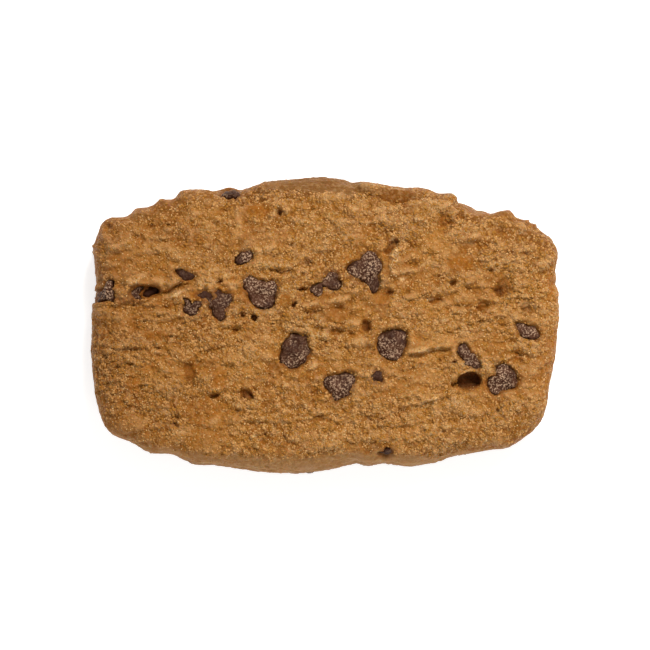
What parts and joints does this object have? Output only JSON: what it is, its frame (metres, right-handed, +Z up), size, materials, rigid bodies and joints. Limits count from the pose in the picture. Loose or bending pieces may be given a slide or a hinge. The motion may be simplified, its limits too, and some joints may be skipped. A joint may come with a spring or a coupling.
{
  "type": "salted caramel cookie",
  "caption": "Soft-baked oblong salted caramel cookie with a torn, wire-cut top, dark chips baked into it and a flat underside to rest on.",
  "frame": {"origin": "middle of the rectangle that the cookie covers, on the surface that it rests on", "axes": "+X along the cookie, +Y across it towards the edge that is at the top of the picture, +Z up out of the cut top face"},
  "size_m": [0.0766, 0.0486, 0.0142],
  "materials": {
    "cookie_dough": "baked caramel-brown dough, dull, with a fine sugary sparkle",
    "chocolate_chip": "dark chocolate, baked, satin with a pale bloom"
  },
  "bodies": {
    "root": {"cookie": "cookie_dough"}
  },
  "joints": []
}
